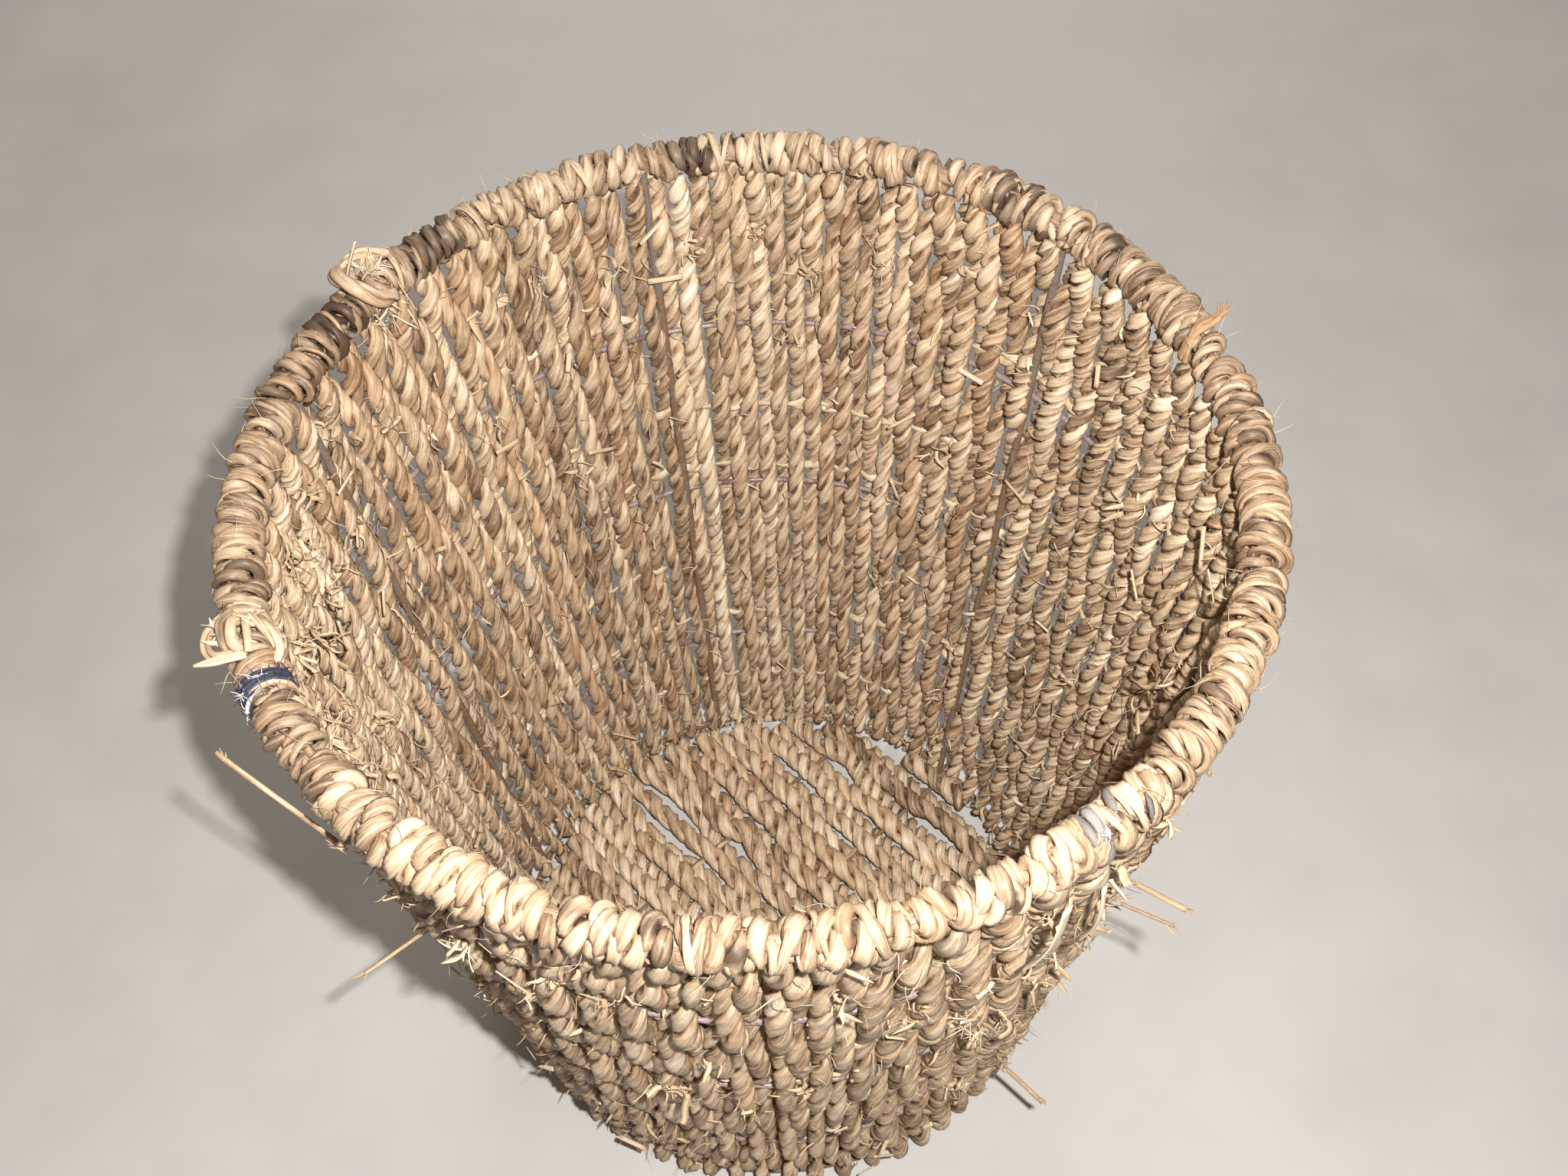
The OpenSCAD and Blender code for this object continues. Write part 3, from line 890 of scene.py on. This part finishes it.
def rim_cord(bundle, at, points, pitch, size, rng, tone, warm, **more):
    """A cord through places by the rim, twisted once in each pitch."""
    path = by_rim(at, points)
    cord(bundle, path, from_wire(at, path), TAU * run_length(path) / pitch, size, 10, rng, tone, warm, **more)


def knot_back_left():
    """A thick bight of cord over the rim, the brush of a cut cord end beside it and a straw that stands up."""
    rng = seeded(811)
    bundle = Bundle()
    at = 144.0
    bight = [(-4, 8, 3), (1, 8.5, 7), (5, 5, 10.5), (6.5, -1, 12), (5.5, -6.5, 10), (2, -10, 6), (-3, -10, 3)]
    cap = [(3, 8, 5), (-1, 7.5, 9.5), (-6, 6, 11), (-11, 3.5, 9), (-15, 1.5, 6.5)]
    lead = [(-12, 4, 6), (-8, 3, 9), (-4, 0, 9)]
    rim_cord(bundle, at, bight, 40, 0.95, rng, 0.56, 0.12, flat=0.2, soil=0.3)
    rim_cord(bundle, at, cap, 30, 0.60, rng, 0.60, 0.02, flat=0.3, soil=0.3)
    rim_cord(bundle, at, lead, 26, 0.85, rng, 0.6, 0.0, soil=0.3)
    out, along = rim_directions(at)
    for _ in range(90):
        root = rim_place(at, (-5 + rng.normal(), 0.5 + rng.normal(), 8))
        heading = unit(0.9 * UP - out * 0.75 + 0.50 * rng.normal(size=3))
        tail(bundle, root, heading, (3.5, 7.5), (0.22, 0.6), 0.2, rng,
             tone=(0.62, 0.98), warm=-0.1, curl=(0.2, 1.0), points=7)
    stalk = by_rim(at, [(2, 4, 7), (0.5, 3.5, 11), (-2, 3, 15.5), (-4.5, 2.5, 19.5)], 12)
    strand(bundle, stalk, out + 0.4 * along, np.linspace(1.3, 0.8, 12), 0.4, 8, rng, tone=0.66, warm=0.15)
    for _ in range(26):
        root = rim_place(at, (rng.uniform(-9, 9), -7, rng.uniform(-8, 4)))
        heading = unit(-out * 0.5 - along * rng.uniform(-1, 1) + UP * rng.uniform(-1, 0.6))
        tail(bundle, root, heading, (4, 13), (0.12, 0.4), 0.15, rng,
             tone=(0.5, 0.95), warm=(-0.1, 0.2), curl=(0.4, 2.2), points=10)
    bundle.build("knot_back_left", rim_grass, ["rim_knot_back_left"], "rim_seagrass")


def knot_left():
    """A loop of cord that stands out of the rim, a streaky ball inside it and two flat cut strands."""
    rng = seeded(812)
    bundle = Bundle()
    at = -161.0
    loop = [(-5.5, 1, 6.5), (-6.5, 6, 6), (-3.5, 10, 5), (1.5, 11, 4.5), (5.5, 8, 5.5), (6, 1.5, 7)]
    ball = [(-5, 2, 7), (-1, 4, 9), (4, 4, 7.5), (6, 2, 6)]
    inner = [(-4, -2, 6.5), (1, -5.5, 6.5), (7, -7.5, 4), (11, -6, 2)]
    rim_cord(bundle, at, loop, 24, 0.52, rng, 0.50, 0.1, soil=0.4)
    rim_cord(bundle, at, ball, 40, 1.0, rng, 0.43, 0.0, plies=3, fold=0.12, soil=0.3)
    rim_cord(bundle, at, inner, 24, 0.60, rng, 0.55, 0.1, soil=0.3)
    _, along = rim_directions(at)
    straw = by_rim(at, [(9, 1, 7.5), (8.6, 8, 8.2), (8, 15, 8.4)], 12)
    half_width = 1.35 * np.clip(1.1 - np.linspace(0, 1, 12) ** 4, 0.3, 1)
    strand(bundle, straw, UP + 0.3 * along, half_width, 0.5, 8, rng, tone=0.56, warm=0.05, ridge=0.2)
    flat_strand = by_rim(at, [(-3, -1.5, 8.6), (3, -1, 9.3), (9, 0, 8.2)], 12)
    strand(bundle, flat_strand, from_wire(at, flat_strand), 1.15, 0.45, 8, rng, tone=0.54, warm=0.05, ridge=0.2)
    for _ in range(22):
        root = rim_place(at, (rng.uniform(-6, 9), rng.uniform(-6, 8), 6.5))
        heading = unit(rng.normal(size=3) * np.array([1, 1, 0.5]) + 0.4 * UP)
        tail(bundle, root, heading, (3, 8), (0.2, 0.8), 0.2, rng,
             tone=(0.5, 0.9), warm=(-0.1, 0.2), curl=(0.5, 1.8), points=8)
    bundle.build("knot_left", rim_grass, ["rim_knot_left"], "rim_seagrass")


knot_back_left()
knot_left()


def frayed_end():
    """Three stiff brown leaves folded over the rim, with ragged tips that stand up."""
    rng = seeded(821)
    bundle = Bundle()
    at = 16.5
    share = np.linspace(0, 1, 20)
    for points, half, ends in (
        ([(-2, -7.5, -2), (-0.5, -6.5, 3.5), (2, -3.5, 7.2), (5.5, 0.5, 8.2)], 1.5, 3),
        ([(0, -8, -2), (0.5, -6.5, 4), (1, -2.5, 8), (1.2, 2.5, 9.5), (1.5, 6.5, 13)], 1.6, 7),
        ([(1, -7.8, -1), (1.5, -5.5, 5), (2.8, -1.5, 8.4), (3.2, 3.5, 9.2), (4.5, 7, 11)], 1.1, 4),
    ):
        path = by_rim(at, points, 20)
        half_width = half * np.clip(0.75 + 0.7 * share - 1.25 * share**4, 0.2, 1.2)
        tone = 0.42 + 0.12 * wander(share, 0.2, rng)
        strand(bundle, path, from_wire(at, path), half_width, 0.45, 10, rng, tone, warm=0.65, ridge=0.2)
        heading = unit(path[-1] - path[-4])
        for _ in range(ends):
            tail(bundle, path[-3] + 0.5 * rng.normal(size=3), unit(heading + 0.3 * rng.normal(size=3)),
                 (2, 5), (0.3, 0.7), 0.25, rng, tone=(0.2, 0.5), warm=0.6, curl=0.3)
    bundle.build("frayed_end", straw_grass, ["rim_frayed_end"], "brown_straw")


frayed_end()

# Direction, height, length, swing sideways and rise of each loose strand, as in the CAD source
STRANDS = [
    (-141, 268, 42, -74, 17),
    (-140, 200, 20, -7, -4),
    (-50, 68, 19, 8, -13),
    (-42, 213, 18, 21, -20),
    (-38, 178, 18, 7, -2),
    (-15, 190, 16, -50, 15),
    (5, 120, 16, 45, -10),
    (65, 180, 18, 52, 12),
    (120, 140, 16, -48, -15),
    (170, 200, 20, 55, 8),
]
STRAND_FOOT = (CORD_D + WIRE_D) / 2 + 0.3 + CORD_D / 2 + 1


def loose_strands():
    """Straws that stick out of the wall, split at both ends."""
    rng = seeded(831)
    bundle = Bundle()
    for angle, z, length, swing, rise in STRANDS:
        a = math.radians(angle)
        turned = Matrix.Rotation(a, 3, "Z") @ Matrix.Rotation(math.radians(swing), 3, "Z")
        heading = np.array(turned @ Matrix.Rotation(math.radians(-rise), 3, "Y") @ Vector((1, 0, 0)))
        start = polar(wall_r(z) + STRAND_FOOT, a, z)
        tail(bundle, start, heading, length, 0.85, 0.6, rng, tone=0.58, warm=(-0.2, 0.1), curl=0.06,
             points=14, sides=8, blunt=True)
        for _ in range(3):
            tip = start + heading * (length - rng.uniform(1, 4))
            tail(bundle, tip, unit(heading + 0.25 * rng.normal(size=3)), (3, 6), 0.35, 0.2, rng,
                 tone=(0.4, 0.7), warm=(0, 0.4), curl=0.5)
            tail(bundle, start - heading * 3 + 0.8 * rng.normal(size=3), unit(heading + 0.3 * rng.normal(size=3)),
                 min(length, 24) * rng.uniform(0.15, 0.35), 0.3, 0.2, rng, tone=(0.4, 0.7), warm=(-0.3, 0.1))
    bundle.build("loose_straws", straw_grass, ["loose_strands"], "brown_straw")


loose_strands()


# ---- Frays: broken grass ends all over the basket ----
def on_wall(angle, z, out):
    """A point off the wall with the wall's outward, sideways and upward directions there."""
    point, normal = wall_point(np.array([math.radians(angle)]), np.array([float(z)]), out)
    out, side = rim_directions(angle)
    return point[0], normal[0], side, out * math.sin(LEAN) + UP * math.cos(LEAN)


def loose_end(rng, face, angle, z, out, away, across, rise, droop=0.0):
    """A start off the wall and a random heading, from how far it may go away from the wall, across and up."""
    point, normal, side, up = on_wall(angle, z, face * out)
    heading = face * normal * rng.uniform(*away) + side * across * rng.normal() + up * (rise * rng.normal() - droop)
    return point, unit(heading)


def tuft(bundle, rng, face, angle, z, count, size, tone=0.55, warm=0.1, dark=0.0):
    """A burst of torn grass on the wall."""
    for _ in range(count):
        spot = angle + rng.normal() * 0.9, z + rng.normal() * 2.4, rng.uniform(4, 7)
        point, heading = loose_end(rng, face, *spot, (0.2, 0.9), 1, 1, 0.2)
        tail(bundle, point, heading, size * rng.uniform(0.4, 1.1), 0.15 + 1.4 * rng.uniform() ** 2,
             rng.uniform(0.1, 0.2), rng, tone + rng.uniform(-0.25, 0.12), warm + rng.uniform(-0.1, 0.25), dark,
             rng.uniform(0.6, 2.6), blunt=rng.uniform() < 0.5)


# Bursts of torn grass: direction, height, number of ends and their length
TUFTS_INSIDE = [
    (63.6, 107, 12, 8), (44.6, 87, 9, 8), (15.9, 222, 12, 9), (13, 139, 7, 7), (79, 252, 14, 8), (81, 226, 8, 8),
    (132, 222, 6, 7), (133, 120, 6, 6), (109, 137, 6, 6), (51, 157, 9, 9), (165, 154, 5, 7), (56, 183, 7, 8),
    (45, 57, 6, 7), (88, 268, 12, 7), (96, 262, 10, 7), (68, 258, 8, 7),
    (170, 274, 12, 9), (176, 264, 12, 9), (182, 272, 14, 10), (188, 258, 12, 9), (194, 270, 14, 10),
    (200, 254, 12, 9), (206, 266, 12, 9), (184, 240, 10, 8), (192, 232, 8, 8), (202, 236, 8, 8),
    (178, 246, 8, 8), (160, 276, 8, 8), (196, 205, 8, 8), (186, 200, 7, 8),
    (212, 240, 9, 9), (152, 262, 7, 8), (120, 268, 8, 8), (108, 262, 8, 8),
]
TUFTS_OUTSIDE = [
    (-114.5, 254, 7, 6), (-108.5, 252, 7, 7), (-99.5, 196, 6, 6), (-106.5, 154, 18, 9), (-95, 142, 14, 8),
    (-68, 198, 12, 9), (-58.5, 156, 9, 8), (-61.5, 90, 18, 8), (-62, 268, 8, 8), (-75, 225, 8, 8),
    (-66, 232, 8, 8), (-58, 226, 8, 8), (-50, 240, 8, 8), (-48, 205, 8, 8), (-55, 185, 8, 8), (-64, 170, 8, 8),
    (-84, 262, 6, 6), (-52, 262, 8, 8), (-44, 268, 8, 8), (-88, 165, 8, 8), (-120, 225, 8, 8), (-132, 262, 8, 7),
]


def scatter_frays(seed, count, straws, face, low, high, tufts):
    """Torn leaf ends and short cut straws on the wall's inner (face -1) or outer (face 1) side."""
    rng = seeded(seed)
    bundle = Bundle()
    for _ in range(count):
        z = rng.choice(WEFT_Z + HOOP_Z) + 3 * rng.normal() if rng.uniform() < 0.55 else rng.uniform(low, high)
        z = min(max(z, low), high)
        angle = rng.uniform(0, 360)
        if rng.uniform() < 0.10:
            angle = FIRST_UPRIGHT + PANEL_ANGLE * rng.integers(0, PANELS) + 1.2 * rng.normal()
        point, heading = loose_end(rng, face, angle, z, rng.uniform(2.5, 6.0), (0.05, 0.6), 0.8, 0.55)
        length, half_width = rng.uniform(2.5, 9), 0.14 + 0.95 * rng.uniform() ** 3
        tail(bundle, point, heading, length, half_width, (0.1, 0.2), rng,
             tone=(0.3 - 0.06 * face, 0.65 - 0.06 * face), warm=(-0.2, 0.35), curl=(0.3, 2.2), points=8)
    for _ in range(straws):
        angle, z = rng.uniform(0, 360), rng.uniform(low, high)
        point, normal, side, up = on_wall(angle, z, face * rng.uniform(6.2, 7.4))
        heading = unit(side * rng.normal() + up * rng.normal() + face * normal * rng.uniform(-0.05, 0.3))
        tail(bundle, point, heading, (5, 13), (0.5, 1.1), (0.2, 0.3), rng,
             tone=(0.45, 0.75), warm=(-0.1, 0.5), curl=0.08, points=6, blunt=True)
    for angle, z, ends, size in tufts:
        tuft(bundle, rng, face, angle, z, ends, size)
    return bundle


HAIR_ROOT_R = 6.6  # from the rim wire, inside the lashing


def scatter_hairs(name, seed, count, low, high):
    """Thin fibres that stand out of the wall and the rim."""
    rng = seeded(seed)
    bundle = Bundle()
    for j in range(count):
        angle = rng.uniform(0, 360)
        if j % 3 == 0:
            place = math.radians(angle), rng.uniform(-0.8, 3.6)
            point = around_rim(*place, HAIR_ROOT_R)
            heading = unit(away_from_wire(*place) * rng.uniform(0.2, 1) + rng.normal(size=3) * 0.6)
        else:
            face = 1 if rng.uniform() < 0.6 else -1
            point, heading = loose_end(rng, face, angle, rng.uniform(low, high), 5.5, (0.1, 0.8), 0.7, 0.7)
        tail(bundle, point, heading, (4, 13), (0.07, 0.15), 0.08, rng,
             tone=(0.35, 0.8), warm=(-0.1, 0.3), curl=(0.3, 1.6), sides=4)
    bundle.build(name, pale_grass, (), "pale_strip")


# Frays cover the wall inside and out, and hairs cover the rim too.
inside = scatter_frays(901, count=1250, straws=70, face=-1, low=20, high=288, tufts=TUFTS_INSIDE)
# Torn ends where the wall meets the floor
corner_rng = seeded(904)
for corner in np.arange(0, 360, 6):
    tuft(inside, corner_rng, -1, corner + 2 * corner_rng.normal(), 17, 3, 10, tone=0.45, warm=0.1)
tuft(inside, seeded(905), -1, -10.6, 208, 16, 10, tone=0.3, warm=0.4, dark=0.45)
inside.build("frays_inside", pale_grass, (), "pale_strip")
outside = scatter_frays(902, count=1250, straws=60, face=1, low=10, high=288, tufts=TUFTS_OUTSIDE)
tuft(outside, seeded(907), 1, -127, 244, 14, 8, tone=0.85, warm=-0.1)
# Broad pale ends under the rim at the front right: direction and height of the foot, length, lean, half width
ends_rng = seeded(906)
for angle, z, length, lean, half in ((-65, 255, 34, 0.22, 2.3), (-57.5, 248, 36, 0.0, 1.2)):
    point, normal, side, up = on_wall(angle, z, 11.5)
    share = np.linspace(0, 1, 16)[:, None]
    path = point + share * length * (up + lean * side) + normal * (2.5 * np.sin(math.pi * share) - 1.5 * share)
    half_width = half * (1 + 0.15 * wander(share[:, 0], 0.4, ends_rng))
    strand(outside, path, normal + 0.3 * side, half_width, 0.45, 10, ends_rng, 0.85, warm=-0.1, ridge=0.15)
outside.build("frays_outside", pale_grass, (), "pale_strip")
scatter_hairs("stray_hairs", 903, count=620, low=20, high=286)


# ---- Stage, light and camera ----
scene = bpy.context.scene

FLOOR_HALF = 3.0
floor_mesh = bpy.data.meshes.new("studio_floor")
floor_mesh.from_pydata(
    [(x * FLOOR_HALF, y * FLOOR_HALF, 0) for x, y in ((-1, -1), (1, -1), (1, 1), (-1, 1))], [], [(0, 1, 2, 3)]
)
studio_floor = bpy.data.objects.new("studio_floor", floor_mesh)
scene.collection.objects.link(studio_floor)
n = Nodes("studio_floor")
place = n.new("ShaderNodeTexCoord").outputs["Object"]
mottle = n.noise(place, 14.0, 4.0, 0.55)
n.link(n.ramp(mottle, stops((0.3, 191, 189, 187), (0.7, 199, 197, 194))), n.shader.inputs["Base Color"])
n.link(n.remap(mottle, 0.3, 0.7, 0.55, 0.7), n.shader.inputs["Roughness"])
studio_floor.data.materials.append(n.material)

# The camera looks down into the basket from the front.
CAMERA_AT = Vector((0.0, -340.75, 693.85)) * MM
CAMERA_RIGHT = Vector((0.99794, -0.05899, -0.02539))
CAMERA_DOWN = Vector((-0.06236, -0.79573, -0.60243))
CAMERA_FORWARD = Vector((0.01534, 0.60277, -0.79777))
IMAGE_WIDTH = 2048
FOCAL_PIXELS = 2300
SENSOR = 36.0
camera = bpy.data.objects.new("camera", bpy.data.cameras.new("camera"))
camera.data.sensor_width = SENSOR
camera.data.lens = FOCAL_PIXELS / IMAGE_WIDTH * SENSOR
camera.data.clip_start = 0.01
camera_turn = Matrix((CAMERA_RIGHT, -CAMERA_DOWN, -CAMERA_FORWARD)).transposed()
camera.matrix_world = Matrix.Translation(CAMERA_AT) @ camera_turn.to_4x4()
scene.collection.objects.link(camera)
scene.camera = camera


def softbox(name, at, target, size, power, colour):
    """A round light that faces a point."""
    lamp = bpy.data.objects.new(name, bpy.data.lights.new(name, "AREA"))
    lamp.data.shape = "DISK"
    lamp.data.size = size
    lamp.data.energy = power
    lamp.data.color = colour
    lamp.location = at
    lamp.rotation_mode = "QUATERNION"
    lamp.rotation_quaternion = (Vector(target) - Vector(at)).to_track_quat("-Z", "Y")
    scene.collection.objects.link(lamp)


softbox("key", at=(0.046, -0.338, 0.742), target=(0, 0.02, 0.12), size=0.015, power=7.4, colour=(1.0, 0.98, 0.95))
softbox("back", at=(0.1, 1.5, 1.0), target=(0, 0.8, 0), size=1.0, power=10.0, colour=(1.0, 0.97, 0.93))

world = bpy.data.worlds.new("studio")
world.use_nodes = True
world.node_tree.nodes["Background"].inputs["Color"].default_value = (1.0, 0.84, 0.67, 1.0)
world.node_tree.nodes["Background"].inputs["Strength"].default_value = 0.19
scene.world = world
scene.view_settings.view_transform = "Standard"
